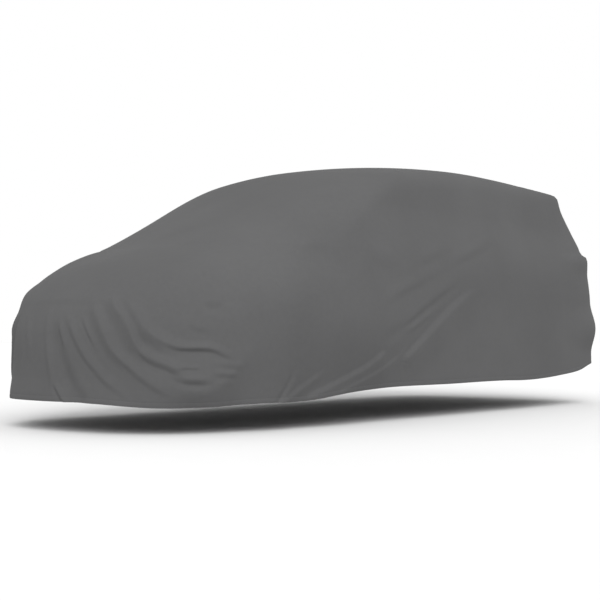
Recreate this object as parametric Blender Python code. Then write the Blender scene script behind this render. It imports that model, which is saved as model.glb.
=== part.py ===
"""A fitted car cover, in the true shape in which it drapes.

The cover is one sheet of cloth whose turned hem is part of it, so it is one solid, hollow and open
below. Metres, +Z up. The front of the cover faces -Y and its seen side faces +X. The origin is on
the underside of the roof, where the cover is held.

Three steps make it:
1. cover_field() is the smooth form that the cloth lies on, from the named sizes.
2. strip_points() follows that form from the ground to the crown in narrow strips. That gives the
   cloth two coordinates of its own: "around" runs along the girth from the middle of the front,
   and "up" runs along the cloth from the ground.
3. cloth_relief() pushes the cloth out or in along its normal, by tables with a row for each fold.
"""

from collections import namedtuple

import bmesh
import bpy
import numpy as np

# The sheet
CLOTH_THICKNESS = 0.003
SKIN_TRIANGLES = 4900  # for one face of the sheet: most of them go where it is folded

# The form in plan. Its lengths along Y start near the middle of the cover, and its heights at the
# ground. cloth_grid() moves the origin to the underside of the roof at the end.
HALF_WIDTH = 0.861
NOSE_Y = -2.106
TAIL_Y = 2.022
NOSE_BOW = 0.226  # how far the middle of the front stands ahead of its corners
TAIL_BOW = 0.076
NOSE_CORNER = 0.602  # radius of the corners in plan
TAIL_CORNER = 0.306

# The walls lean in above LEAN_FROM, and the sides tuck in below SKIRT_TOP.
SKIRT_TOP = 0.72
SKIRT_TUCK = 0.04  # for each metre down
LEAN_FROM = 0.50
KNEE = 0.16  # the height over which a wall starts to lean
NOSE_TUCK = 0.05  # back, for each metre below LEAN_FROM
NOSE_LEAN = 0.258  # for each metre up
TAIL_LEAN = 0.157
TAIL_BULGE = 0.059  # the fullest part of the tail, around TAIL_BULGE_Z
TAIL_BULGE_Z = 0.52
TAIL_BULGE_REACH = 0.14
DECK_Z = 0.734  # the low front deck, where it meets the nose
DECK_RISE = 0.328  # for each metre back
DECK_HIGHEST = 1.191
DECK_CROWN = 0.125  # how much higher the middle of the deck is than its sides
DECK_EDGE = 0.271  # blend between the deck and the walls

# The cabin, the high part from the foot of the screen to the tail
CABIN_FROM = 0.95
SIDE_FROM = 0.75
CABIN_HALF = 0.840
SIDE_LEAN = 0.089  # in, for each metre above SIDE_FROM
SIDE_CURVE = 0.129  # and for each square metre
SCREEN_Y = -1.338
SCREEN_RUN = 1.691  # back, for each metre above CABIN_FROM
SCREEN_BOW = 0.146
SCREEN_CORNER = 0.30
REAR_Y = 2.051
REAR_RUN = 0.653  # forward, for each metre up, as far as the lip
REAR_BOW = 0.08
REAR_CORNER = 0.18
LIP_Y = 1.805  # the upright lip at the back of the roof
LIP_BLEND = 0.03
ROOF_Z = 1.546
ROOF_Y = 0.695  # where the roof is highest
ROOF_FALL_FRONT = 0.0874  # for each square metre from there
ROOF_FALL_REAR = 0.0321
ROOF_CROWN = 0.160
ROOF_EDGE = 0.098
LIP_EDGE = 0.030
LIP_EDGE_FROM = 1.2  # the roof's edge sharpens from here over LIP_EDGE_OVER
LIP_EDGE_OVER = 0.5
CABIN_FOOT = 0.127  # blend between the cabin and the deck

# The line inside the form from which the strips fan out, and how they are sampled
CORE_FRONT = -0.95
CORE_REAR = 1.15
CORE_Z = 0.72
GIRTH_Z = 0.50  # "around" is measured at this height
GIRTH_SAMPLES = 1200  # along half the girth
LOWEST_RAY = np.radians(-42.0)  # it meets the form below the ground
STRIP_SAMPLES = 200
WALL_SAMPLES = 60  # the lowest of them, all on the walls: the ground lies among them
RAY_REACH = 3.0
BISECTIONS = 26  # halvings of RAY_REACH
NORMAL_STEP = 0.002  # for the slopes of the form
WELD = 0.00001  # points of the crown closer than this are one

# The grid of the sheet before it is thinned
HALF_COLUMNS = 270
ROWS = 90
ROW_CROWDING = 1.35  # over 1 sets the rows closer near the hem
PATH_SAMPLES = 90  # along the path of a fold
FACE_POWER = 2.0  # over 1: the face of a crisp fold is steepest at its sharp end
FLANK_POWER = 1.5  # nearer 1: the slopes beside a fold are straighter
FLANK_CRISP = 0.5  # the share of that in the slope behind a ridge
MM = 0.001  # tables give the sizes of folds in millimetres

# The hem all the way round: its height above the ground, and how far it kicks out
Hem = namedtuple("Hem", "around height flare")
HEM = (
    Hem(-5.40, 0.252, 0.004),
    Hem(-4.95, 0.262, 0.006),
    Hem(-4.45, 0.272, 0.004),
    Hem(-4.10, 0.226, 0.000),
    Hem(-3.60, 0.201, 0.004),
    Hem(-2.80, 0.188, 0.006),
    Hem(-2.10, 0.190, 0.000),
    Hem(-1.70, 0.166, 0.000),
    Hem(-1.30, 0.143, 0.004),
    Hem(-0.80, 0.137, 0.010),
    Hem(-0.42, 0.150, 0.014),
    Hem(-0.10, 0.151, 0.010),
    Hem(0.30, 0.147, 0.006),
    Hem(0.57, 0.131, 0.004),
    Hem(0.82, 0.129, 0.002),
    Hem(1.14, 0.140, 0.000),
    Hem(1.45, 0.143, 0.000),
    Hem(1.72, 0.172, 0.000),
    Hem(2.03, 0.188, 0.000),
    Hem(2.67, 0.192, 0.003),
    Hem(3.28, 0.194, 0.003),
    Hem(3.48, 0.190, 0.002),
    Hem(4.00, 0.212, 0.000),
    Hem(4.22, 0.233, 0.000),
    Hem(4.43, 0.275, 0.004),
    Hem(4.75, 0.259, 0.006),
    Hem(5.10, 0.249, 0.004),
    Hem(5.40, 0.252, 0.004),
)
FLARE_REACH = 0.12  # the height over which the hem kicks out

# A fold is a step in the cloth. Its path, a curve through places (around, up) in metres, runs along
# the middle of the steep face. The ridge is on the left of the path and the trough on the right.
# The other lengths are in millimetres. The ridge stands "ridge" out and dies away over "above". The
# trough sinks "trough" and ends over "below", and the face between them is "rise" wide. The fold
# grows over the share "grow" of its path and fades over the share "fade". "widen" is how many times
# as wide "above" and "below" are at its end as at its start. "crisp" goes from 0, a round trough,
# to 1, a sharp one. Below 0, down to -1, the trough is round and the ridge is sharp.
Fold = namedtuple("Fold", "ridge trough rise above below grow fade widen crisp path")

# Seen side: swags that hang from the edge of the deck and sweep back to the low front corner
NOSE_SWAGS = (
    Fold(5, 1, 40, 40, 40, 0.2, 0.6, 1.2, 0.0, ((-0.26, 0.60), (-0.215, 0.42), (-0.20, 0.28))),
    Fold(7, 0, 34, 30, 30, 0.2, 0.3, 1.2, 0.0,
         ((-0.075, 0.62), (-0.045, 0.445), (-0.025, 0.30), (0.00, 0.17))),
    Fold(5, 5, 20, 30, 24, 0.4, 0.0, 1.2, 0.5,
         ((0.005, 0.245), (0.036, 0.21), (0.068, 0.174), (0.105, 0.135))),
    Fold(2, 10, 72, 44, 84, 0.3, 0.1, 1.1, 0.0,
         ((0.00, 0.60), (0.055, 0.48), (0.092, 0.39), (0.128, 0.305), (0.175, 0.23), (0.26, 0.155))),
    Fold(4, 1, 22, 24, 30, 0.3, 0.3, 1.2, 0.2, ((0.035, 0.545), (0.075, 0.455), (0.10, 0.39))),
    Fold(7, 1, 30, 44, 38, 0.2, 0.3, 1.2, 0.2,
         ((0.05, 0.59), (0.126, 0.508), (0.183, 0.424), (0.228, 0.365), (0.289, 0.302),
          (0.358, 0.238), (0.424, 0.192), (0.50, 0.145))),
    Fold(4, 3, 14, 20, 18, 0.3, 0.4, 1.2, 0.6,
         ((0.185, 0.57), (0.238, 0.497), (0.273, 0.445), (0.31, 0.385))),
    Fold(13, 1, 50, 52, 60, 0.2, 0.5, 0.9, -0.5,
         ((0.21, 0.63), (0.295, 0.52), (0.335, 0.447), (0.365, 0.395), (0.41, 0.343), (0.46, 0.298),
          (0.55, 0.230))),
    Fold(7, 1, 30, 60, 44, 0.4, 0.3, 1.1, 0.2,
         ((0.36, 0.425), (0.415, 0.364), (0.46, 0.322), (0.515, 0.272), (0.575, 0.227),
          (0.63, 0.194), (0.69, 0.16))),
    Fold(20, 1, 64, 36, 60, 0.2, 0.4, 0.9, -0.7,
         ((0.31, 0.66), (0.37, 0.575), (0.420, 0.518), (0.450, 0.471), (0.470, 0.425),
          (0.500, 0.374), (0.538, 0.332), (0.585, 0.304))),
    Fold(12, 5, 34, 40, 70, 0.35, 0.2, 0.8, 0.4,
         ((0.50, 0.43), (0.53, 0.390), (0.558, 0.360), (0.585, 0.342), (0.63, 0.325),
          (0.675, 0.306), (0.73, 0.283))),
    Fold(6, 9, 32, 26, 30, 0.5, 0.4, 1.0, 0.5,
         ((0.65, 0.300), (0.69, 0.270), (0.73, 0.257), (0.78, 0.252), (0.83, 0.250), (0.88, 0.262))),
    Fold(17, 1, 62, 56, 60, 0.25, 0.4, 0.7, -0.4,
         ((0.40, 0.64), (0.475, 0.545), (0.528, 0.475), (0.578, 0.435), (0.632, 0.405),
          (0.69, 0.39), (0.76, 0.385))),
    Fold(13, 6, 22, 34, 46, 0.4, 0.55, 0.9, 0.7,
         ((0.60, 0.455), (0.644, 0.427), (0.69, 0.408), (0.754, 0.403), (0.801, 0.403),
          (0.865, 0.396), (0.92, 0.372), (1.01, 0.325))),
    Fold(3, 3, 12, 20, 14, 0.3, 0.3, 1.0, 0.6, ((0.69, 0.315), (0.75, 0.313), (0.81, 0.312))),
    Fold(4, 2, 30, 24, 30, 0.4, 0.4, 1.0, 0.3, ((0.86, 0.326), (0.93, 0.322), (1.03, 0.305))),
    Fold(5, 3, 28, 24, 26, 0.4, 0.4, 1.0, 0.3, ((0.84, 0.288), (0.92, 0.280), (1.01, 0.272))),
    Fold(4, 0, 34, 60, 30, 0.3, 0.3, 1.0, 0.3,
         ((-0.45, 0.63), (-0.016, 0.642), (0.283, 0.632), (0.45, 0.64), (0.62, 0.655))),
)

# Seen side: long pulls that run down from the back of the side to the edge behind the front corner
SIDE_PULLS = (
    Fold(10, 0, 32, 220, 24, 0.1, 0.10, 0.8, 0.2,
         ((2.01, 0.395), (1.84, 0.306), (1.67, 0.245), (1.56, 0.204), (1.42, 0.15))),
    Fold(4, 0, 20, 120, 20, 0.3, 0.1, 1.0, 0.2,
         ((2.26, 0.455), (2.10, 0.344), (1.92, 0.268), (1.78, 0.222), (1.62, 0.17))),
    Fold(12, 1, 42, 200, 30, 0.3, 0.06, 0.7, 0.2,
         ((2.96, 0.77), (2.745, 0.68), (2.61, 0.605), (2.48, 0.525), (2.34, 0.44), (2.16, 0.335))),
    Fold(4, 1, 26, 30, 25, 0.5, 0.2, 1.0, 0.2,
         ((2.59, 0.677), (2.44, 0.608), (2.34, 0.566), (2.17, 0.492))),
    Fold(5, 1, 36, 90, 40, 0.2, 0.4, 1.0, 0.2,
         ((2.07, 0.50), (2.24, 0.560), (2.35, 0.61), (2.46, 0.66), (2.59, 0.72), (2.73, 0.785),
          (2.93, 0.87))),
    Fold(5, 1, 42, 60, 50, 0.4, 0.4, 1.0, 0.2,
         ((1.88, 0.59), (2.10, 0.68), (2.25, 0.73), (2.43, 0.79), (2.66, 0.87))),
    Fold(5, 2, 34, 50, 50, 0.4, 0.4, 1.0, 0.2, ((2.27, 0.845), (2.45, 0.905), (2.70, 0.98))),
    Fold(8, 3, 32, 50, 40, 0.4, 0.4, 1.0, 0.2,
         ((2.60, 0.85), (2.85, 0.935), (3.00, 0.985), (3.25, 1.08))),
    Fold(3, 4, 24, 40, 26, 0.4, 0.0, 1.0, 0.5,
         ((1.33, 0.34), (1.32, 0.26), (1.29, 0.20), (1.24, 0.13))),
    Fold(4, 1, 26, 40, 30, 0.3, 0.0, 1.0, 0.2,
         ((1.55, 0.31), (1.453, 0.246), (1.365, 0.199), (1.26, 0.14))),
)

# Seen side: short creases at the shoulder, and two that run up beside the screen
SHOULDER_CREASES = (
    Fold(6, 5, 50, 45, 40, 0.4, 0.4, 1.0, 0.3,
         ((0.945, 0.665), (0.87, 0.70), (0.82, 0.74), (0.77, 0.79))),
    Fold(4, 4, 36, 40, 40, 0.4, 0.4, 1.0, 0.3, ((0.79, 0.63), (0.86, 0.615), (0.93, 0.615))),
    Fold(3, 2, 30, 30, 30, 0.4, 0.4, 1.0, 0.2,
         ((0.72, 0.525), (0.78, 0.50), (0.83, 0.487), (0.87, 0.487))),
    Fold(1, 4, 16, 24, 28, 0.3, 0.3, 1.0, 0.0, ((1.62, 1.066), (1.68, 1.15), (1.75, 1.245))),
    Fold(2, 3, 16, 24, 24, 0.3, 0.3, 1.0, 0.0, ((1.79, 1.185), (1.85, 1.27), (1.92, 1.365))),
)

# The far side, mirrored: around counts towards -X here.
FAR_FOLDS = (
    Fold(8, 6, 26, 60, 45, 0.2, 0.0, 1.4, 0.6, ((0.36, 0.62), (0.50, 0.38), (0.74, 0.13))),
    Fold(12, 9, 30, 60, 50, 0.2, 0.3, 1.3, 0.6, ((0.45, 0.60), (0.64, 0.37), (1.00, 0.25))),
    Fold(14, 9, 30, 60, 40, 0.3, 0.3, 0.8, 0.7, ((0.60, 0.58), (0.82, 0.43), (1.16, 0.38))),
    Fold(6, 6, 30, 40, 50, 0.4, 0.4, 1.0, 0.4, ((0.74, 0.80), (0.85, 0.74), (0.98, 0.70))),
    Fold(5, 7, 28, 40, 40, 0.4, 0.0, 1.0, 0.4, ((1.50, 0.42), (1.36, 0.26), (1.24, 0.12))),
    Fold(8, 8, 36, 50, 60, 0.3, 0.0, 1.0, 0.4, ((2.66, 0.78), (2.20, 0.50), (1.66, 0.13))),
    Fold(6, 6, 36, 60, 60, 0.4, 0.4, 1.0, 0.4, ((3.08, 0.98), (2.66, 0.68), (2.16, 0.42))),
    Fold(6, 6, 30, 60, 50, 0.4, 0.4, 1.0, 0.4, ((3.10, 0.80), (2.76, 0.56), (2.36, 0.34))),
    Fold(6, 5, 40, 70, 70, 0.4, 0.5, 1.0, 0.3, ((3.46, 0.92), (3.24, 0.60), (3.00, 0.36))),
    Fold(6, 6, 30, 60, 40, 0.4, 0.4, 1.0, 0.4, ((1.84, 1.34), (1.74, 1.18), (1.68, 1.02))),
    Fold(6, 5, 30, 50, 40, 0.4, 0.4, 1.0, 0.4, ((2.40, 1.50), (2.18, 1.38), (2.02, 1.24))),
)
TAIL_FOLDS = (
    Fold(28, 2, 50, 130, 40, 0.35, 0.3, 1.0, 0.0,
         ((5.05, 1.04), (4.60, 1.03), (4.30, 1.02), (3.98, 1.00))),
    Fold(8, 8, 40, 70, 60, 0.4, 0.0, 1.2, 0.4, ((4.58, 0.72), (4.62, 0.48), (4.70, 0.20))),
    Fold(6, 6, 30, 60, 50, 0.4, 0.0, 1.2, 0.4, ((4.86, 0.60), (4.88, 0.42), (4.93, 0.20))),
    Fold(6, 6, 40, 70, 60, 0.4, 0.0, 1.2, 0.4, ((5.14, 0.66), (5.12, 0.44), (5.08, 0.20))),
)
FAR_TAIL_FOLDS = (
    Fold(24, 2, 54, 120, 40, 0.35, 0.3, 1.0, 0.0,
         ((5.00, 1.04), (4.64, 1.03), (4.34, 1.01), (4.02, 0.99))),
    Fold(8, 7, 40, 60, 60, 0.4, 0.0, 1.2, 0.4, ((4.50, 0.64), (4.58, 0.44), (4.62, 0.20))),
    Fold(7, 7, 40, 70, 60, 0.4, 0.0, 1.2, 0.4, ((4.78, 0.74), (4.84, 0.50), (4.96, 0.20))),
)

# Broad swells (above zero) and hollows (below zero): half sizes along and across their own axis,
# in metres, the tilt of that axis in degrees, and the height in millimetres
Swell = namedtuple("Swell", "around up half_length half_height tilt height")
SEEN_SWELLS = (
    Swell(2.02, 0.90, 0.16, 0.10, -15.0, 10),
    Swell(1.60, 1.08, 0.42, 0.11, 43.0, 12),
    Swell(1.70, 0.50, 0.90, 0.42, 0.0, 46),
    Swell(1.55, 1.02, 0.75, 0.50, 0.0, -34),
    Swell(0.72, 0.250, 0.34, 0.20, -6.0, 24),
    Swell(-0.35, 0.120, 0.60, 0.24, 0.0, 16),
    Swell(2.07, 0.475, 0.12, 0.06, 25.0, -5),
    Swell(4.45, 0.52, 0.50, 0.18, 0.0, 24),
)
FAR_SWELLS = (
    Swell(1.70, 0.52, 0.90, 0.40, 0.0, 22),
    Swell(0.72, 0.250, 0.34, 0.20, -6.0, 20),
    Swell(2.04, 0.97, 0.19, 0.13, -20.0, 22),
    Swell(0.72, 1.08, 0.55, 0.24, 0.0, 17),
    Swell(0.50, 0.69, 0.32, 0.11, 0.0, 14),
    Swell(4.48, 0.53, 0.46, 0.18, 0.0, 20),
)

# The low edge is drawn in: from "top" down, the cloth leans in by "slope", after a bend over "bend".
Tuck = namedtuple("Tuck", "around top slope bend")
LEAST_BEND = 0.01  # keeps the bend between two rows of a table above zero
SEEN_TUCKS = (
    Tuck(0.00, 0.15, 0.00, 0.02),
    Tuck(0.55, 0.15, 0.00, 0.02),
    Tuck(0.66, 0.18, 0.10, 0.02),
    Tuck(0.75, 0.195, 0.28, 0.02),
    Tuck(0.88, 0.22, 0.28, 0.02),
    Tuck(1.00, 0.32, 0.22, 0.03),
    Tuck(1.10, 0.40, 0.12, 0.08),
    Tuck(1.25, 0.45, 0.08, 0.10),
    Tuck(1.50, 0.47, 0.08, 0.10),
    Tuck(1.85, 0.48, 0.08, 0.08),
    Tuck(2.05, 0.47, 0.07, 0.08),
    Tuck(2.30, 0.46, 0.02, 0.08),
    Tuck(2.60, 0.44, 0.01, 0.10),
    Tuck(3.20, 0.44, 0.00, 0.10),
    Tuck(5.40, 0.44, 0.00, 0.10),
)
FAR_TUCKS = (
    Tuck(0.00, 0.42, 0.00, 0.06),
    Tuck(0.90, 0.42, 0.02, 0.06),
    Tuck(1.35, 0.48, 0.15, 0.10),
    Tuck(1.95, 0.50, 0.15, 0.10),
    Tuck(2.55, 0.46, 0.04, 0.10),
    Tuck(3.30, 0.44, 0.00, 0.10),
    Tuck(5.40, 0.44, 0.00, 0.10),
)

CLOTH_COLOUR = (0.135, 0.135, 0.136, 1.0)
CLOTH_ROUGHNESS = 0.85


def clear_scene():
    for thing in list(bpy.data.objects):
        bpy.data.objects.remove(thing, do_unlink=True)


def smooth_max(a, b, blend):
    share = np.clip(0.5 + 0.5 * (a - b) / blend, 0.0, 1.0)
    return b + (a - b) * share + blend * share * (1.0 - share)


def smooth_min(a, b, blend):
    return -smooth_max(-a, -b, blend)


def ease(share):
    """0 to 1 with level ends."""
    share = np.clip(share, 0.0, 1.0)
    return share * share * (3.0 - 2.0 * share)


def plan_distance(x, y, half, front, rear, front_radius, rear_radius):
    """Distance in plan to a rectangle with round corners, negative inside it."""
    in_front = y < 0.5 * (front + rear)
    radius = np.where(in_front, front_radius, rear_radius)
    across = np.abs(x) - half + radius
    along = np.where(in_front, front - y, y - rear) + radius
    corner = np.hypot(np.maximum(across, 0.0), np.maximum(along, 0.0))
    return corner + np.minimum(np.maximum(across, along), 0.0) - radius


def lower_form(x, y, z):
    """The walls and the low front deck."""
    offset = (x / HALF_WIDTH) ** 2
    above = smooth_max(z - LEAN_FROM, 0.0, KNEE)
    below = np.maximum(LEAN_FROM - z, 0.0)
    bulge = TAIL_BULGE * np.exp(-(((z - TAIL_BULGE_Z) / TAIL_BULGE_REACH) ** 2))
    front = NOSE_Y + NOSE_BOW * offset + NOSE_LEAN * above + NOSE_TUCK * below
    rear = TAIL_Y - TAIL_BOW * offset - TAIL_LEAN * above + bulge
    half = HALF_WIDTH - SKIRT_TUCK * np.maximum(SKIRT_TOP - z, 0.0)
    walls = plan_distance(x, y, half, front, rear, NOSE_CORNER, TAIL_CORNER)
    deck = np.minimum(DECK_Z + DECK_RISE * (y - NOSE_Y), DECK_HIGHEST) - DECK_CROWN * offset
    return smooth_max(walls, z - deck, DECK_EDGE)


def cabin_form(x, y, z):
    """The high part, with an upright lip at the back of its roof."""
    offset = (x / HALF_WIDTH) ** 2
    above = np.maximum(z - CABIN_FROM, 0.0)
    above_side = np.maximum(z - SIDE_FROM, 0.0)
    half = CABIN_HALF - SIDE_LEAN * above_side - SIDE_CURVE * above_side**2
    front = SCREEN_Y + SCREEN_RUN * above + SCREEN_BOW * offset
    rear_lean = REAR_RUN * smooth_max(z - CABIN_FROM, 0.0, KNEE)
    rear = smooth_max(REAR_Y - rear_lean, LIP_Y, LIP_BLEND) - REAR_BOW * offset
    walls = plan_distance(x, y, half, front, rear, SCREEN_CORNER, REAR_CORNER)
    along = y - ROOF_Y
    fall = np.where(along < 0.0, ROOF_FALL_FRONT, ROOF_FALL_REAR)
    roof = ROOF_Z - fall * along**2 - ROOF_CROWN * x**2
    edge = ROOF_EDGE + (LIP_EDGE - ROOF_EDGE) * np.clip((y - LIP_EDGE_FROM) / LIP_EDGE_OVER, 0.0, 1.0)
    return smooth_max(walls, z - roof, edge)


def cover_field(x, y, z):
    """Below zero inside the form that the cloth lies on."""
    return smooth_min(lower_form(x, y, z), cabin_form(x, y, z), CABIN_FOOT)


def field_normal(points):
    """Outward unit normals of the form."""
    slopes = []
    for axis in range(3):
        step = np.zeros(3)
        step[axis] = NORMAL_STEP
        ahead = cover_field(*np.moveaxis(points + step, -1, 0))
        behind = cover_field(*np.moveaxis(points - step, -1, 0))
        slopes.append(ahead - behind)
    normal = np.stack(slopes, axis=-1)
    return normal / np.linalg.norm(normal, axis=-1, keepdims=True)


def reach_of(inside, shape):
    """How far each ray goes before it leaves the form, by bisection."""
    near = np.zeros(shape)
    far = np.full(shape, RAY_REACH)
    for _ in range(BISECTIONS):
        middle = 0.5 * (near + far)
        within = inside(middle)
        near = np.where(within, middle, near)
        far = np.where(within, far, middle)
    return 0.5 * (near + far)


def core_rays(turn):
    """Where rays start on the core line and their plan directions. turn goes from 0, the middle of
    the front, past 1 and 2, the ends of the straight side, to 3, the middle of the tail."""
    front_angle = np.clip(turn, 0.0, 1.0) * np.pi / 2
    rear_angle = np.clip(turn - 2.0, 0.0, 1.0) * np.pi / 2
    start = CORE_FRONT + (CORE_REAR - CORE_FRONT) * np.clip(turn - 1.0, 0.0, 1.0)
    side = np.where(turn < 1.0, np.sin(front_angle), np.cos(rear_angle))
    along = np.where(turn < 1.0, -np.cos(front_angle), np.sin(rear_angle))
    return start, side, along


def girth_table():
    """The turn of each sample along half the girth, and its distance from the middle of the front."""
    turn = np.linspace(0.0, 3.0, GIRTH_SAMPLES)
    start, side, along = core_rays(turn)
    reach = reach_of(lambda r: cover_field(side * r, start + along * r, GIRTH_Z) < 0.0, turn.shape)
    steps = np.hypot(np.diff(side * reach), np.diff(start + along * reach))
    return turn, np.concatenate([[0.0], np.cumsum(steps)])


def strip_points(turn):
    """Points from below the ground to the crown along each strip, and their "up"."""
    start, side, along = (value[:, None] for value in core_rays(turn))
    climb = np.linspace(LOWEST_RAY, np.pi / 2, STRIP_SAMPLES)[None, :]
    flat, steep = np.cos(climb), np.sin(climb)

    def place(reach):
        return side * flat * reach, start + along * flat * reach, CORE_Z + steep * reach

    reach = reach_of(lambda r: cover_field(*place(r)) < 0.0, (len(turn), STRIP_SAMPLES))
    points = np.stack(place(reach), axis=-1)
    lengths = np.linalg.norm(np.diff(points, axis=1), axis=-1)
    up = np.concatenate([np.zeros((len(turn), 1)), np.cumsum(lengths, axis=1)], axis=1)
    for strip in range(len(turn)):
        up[strip] -= np.interp(0.0, points[strip, :WALL_SAMPLES, 2], up[strip, :WALL_SAMPLES])
    return points, up


def smooth_curve(at, places, values):
    """A curve through values at places, with Catmull-Rom slopes."""
    slopes = np.gradient(values, places)
    index = np.clip(np.searchsorted(places, at) - 1, 0, len(places) - 2)
    width = places[index + 1] - places[index]
    share = (at - places[index]) / width
    low = ease(share)
    lead = share * (1.0 - share) ** 2 * width
    tail = share**2 * (share - 1.0) * width
    blended = values[index] * (1.0 - low) + values[index + 1] * low
    return blended + slopes[index] * lead + slopes[index + 1] * tail


def hem_line(around):
    """The height and the flare of the hem at each place around."""
    places, heights, flares = np.array(HEM).T
    return smooth_curve(around, places, heights), smooth_curve(around, places, flares)


def fold_path(fold):
    """Points along the path of a fold, and the unit vectors along it."""
    places = np.array(fold.path)
    steps = np.linalg.norm(np.diff(places, axis=0), axis=1)
    lengths = np.concatenate([[0.0], np.cumsum(steps)])
    at = np.linspace(0.0, lengths[-1], PATH_SAMPLES)
    path = np.stack([smooth_curve(at, lengths, places[:, axis]) for axis in range(2)], axis=1)
    heading = np.gradient(path, axis=0)
    return path, heading / np.linalg.norm(heading, axis=1, keepdims=True)


def fold_profile(across, width, fold):
    """Height across a fold in metres, over the distance from its path, positive to its ridge."""
    rise, above, below = MM * fold.rise, MM * fold.above * width, MM * fold.below * width
    ridge, trough = MM * fold.ridge, MM * fold.trough
    across = across + 0.5 * rise
    face = np.clip(across / rise, 0.0, 1.0)
    flank = np.clip(1.0 - (across - rise) / above, 0.0, 1.0)
    foot = np.clip(1.0 + across / below, 0.0, 1.0)

    def bend(share, crisp, power):
        return crisp * share**power + (1.0 - crisp) * ease(share)

    before = -trough * bend(foot, max(fold.crisp, 0.0), FLANK_POWER)
    if fold.crisp < 0.0:
        climb = (ridge + trough) * bend(face, -fold.crisp, FACE_POWER) - trough
    else:
        climb = ridge - (ridge + trough) * bend(1.0 - face, fold.crisp, FACE_POWER)
    behind = ridge * bend(flank, FLANK_CRISP, FLANK_POWER)
    return np.where(across < 0.0, before, np.where(across < rise, climb, behind))


def fold_relief(fold, around, up):
    """The relief of one fold at each place of the cloth, in metres."""
    path, heading = fold_path(fold)
    margin = MM * max(fold.rise + fold.above, fold.below) * np.sqrt(max(fold.widen, 1.0 / fold.widen))
    low = path.min(axis=0) - margin
    high = path.max(axis=0) + margin
    near = (around > low[0]) & (around < high[0]) & (up > low[1]) & (up < high[1])
    relief = np.zeros(around.shape)
    if not near.any():
        return relief
    offset = np.stack([around[near], up[near]], axis=-1)[:, None, :] - path[None, :, :]
    closest = np.argmin((offset**2).sum(axis=-1), axis=1)
    gap = offset[np.arange(len(closest)), closest]
    ahead = heading[closest]
    across = ahead[:, 0] * gap[:, 1] - ahead[:, 1] * gap[:, 0]
    beyond = np.abs((ahead * gap).sum(axis=1))
    along = closest / (PATH_SAMPLES - 1)
    width = fold.widen ** (along - 0.5)
    strength = ease(1.0 - beyond / margin)
    if fold.grow:
        strength *= ease(along / fold.grow)
    if fold.fade:
        strength *= ease((1.0 - along) / fold.fade)
    relief[near] = fold_profile(across, width, fold) * strength
    return relief


def swell_relief(swell, around, up):
    """A smooth swell or hollow, in metres."""
    tilt = np.radians(swell.tilt)
    right, above = around - swell.around, up - swell.up
    along = (right * np.cos(tilt) + above * np.sin(tilt)) / swell.half_length
    across = (above * np.cos(tilt) - right * np.sin(tilt)) / swell.half_height
    return MM * swell.height * ease(1.0 - np.hypot(along, across))


def tuck_relief(tucks, around, up):
    """How far the low edge is drawn in, in metres below zero, on the side that the table is for."""
    places, *columns = np.array(tucks).T
    top, slope, bend = (smooth_curve(around, places, column) for column in columns)
    return -np.maximum(slope, 0.0) * smooth_max(top - up, 0.0, np.maximum(bend, LEAST_BEND))


def cloth_relief(around, up):
    """How far the cloth stands out of the form, or in."""
    relief = np.zeros(around.shape)
    for fold in NOSE_SWAGS + SIDE_PULLS + SHOULDER_CREASES + TAIL_FOLDS:
        relief += fold_relief(fold, around, up)
    for fold in FAR_FOLDS + FAR_TAIL_FOLDS:
        relief += fold_relief(fold, -around, up)
    for swell in SEEN_SWELLS:
        relief += swell_relief(swell, around, up)
    for swell in FAR_SWELLS:
        relief += swell_relief(swell, -around, up)
    seen = tuck_relief(SEEN_TUCKS, np.maximum(around, 0.0), up)
    far = tuck_relief(FAR_TUCKS, np.maximum(-around, 0.0), up)
    return relief + np.where(around > 0.0, seen, far)


def cloth_grid():
    """Points of the sheet, a row of columns round the girth for each level from hem to crown."""
    turns, distances = girth_table()
    half_around = np.linspace(0.0, distances[-1], HALF_COLUMNS + 1)
    points, up = strip_points(np.interp(half_around, distances, turns))
    mirrored = points[-2:0:-1] * np.array([-1.0, 1.0, 1.0])
    points = np.concatenate([points, mirrored])
    up = np.concatenate([up, up[-2:0:-1]])
    around = np.concatenate([half_around, -half_around[-2:0:-1]])

    height, flare = hem_line(around)
    share = np.linspace(0.0, 1.0, ROWS) ** ROW_CROWDING
    level = height[:, None] + (up[:, -1] - height)[:, None] * share[None, :]
    grid = np.empty(level.shape + (3,))
    for column in range(len(around)):
        for axis in range(3):
            grid[column, :, axis] = np.interp(level[column], up[column], points[column, :, axis])

    wide_around = np.broadcast_to(around[:, None], level.shape)
    relief = cloth_relief(wide_around, level)
    relief += flare[:, None] * ease(1.0 - (level - height[:, None]) / FLARE_REACH)
    grid += field_normal(grid) * relief[..., None]
    grid -= np.array([0.0, ROOF_Y, ROOF_Z - CLOTH_THICKNESS])
    return grid


def sheet_mesh(name, grid):
    """The grid as one open skin: a ring of quads that closes along the crown."""
    columns, rows = grid.shape[:2]
    mesh = bmesh.new()
    made = [[mesh.verts.new(point) for point in column] for column in grid]
    for column in range(columns):
        beside = (column + 1) % columns
        for row in range(rows - 1):
            mesh.faces.new(
                (made[column][row], made[beside][row], made[beside][row + 1], made[column][row + 1])
            )
    crown = [column[-1] for column in made]
    bmesh.ops.remove_doubles(mesh, verts=crown, dist=WELD)
    bmesh.ops.recalc_face_normals(mesh, faces=mesh.faces)
    data = bpy.data.meshes.new(name)
    mesh.to_mesh(data)
    mesh.free()
    data.shade_smooth()
    return data


def cloth_material():
    material = bpy.data.materials.new("cover_cloth")
    material.use_nodes = True
    shader = material.node_tree.nodes["Principled BSDF"]
    shader.inputs["Base Color"].default_value = CLOTH_COLOUR
    shader.inputs["Roughness"].default_value = CLOTH_ROUGHNESS
    shader.inputs["Metallic"].default_value = 0.0
    return material


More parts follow.
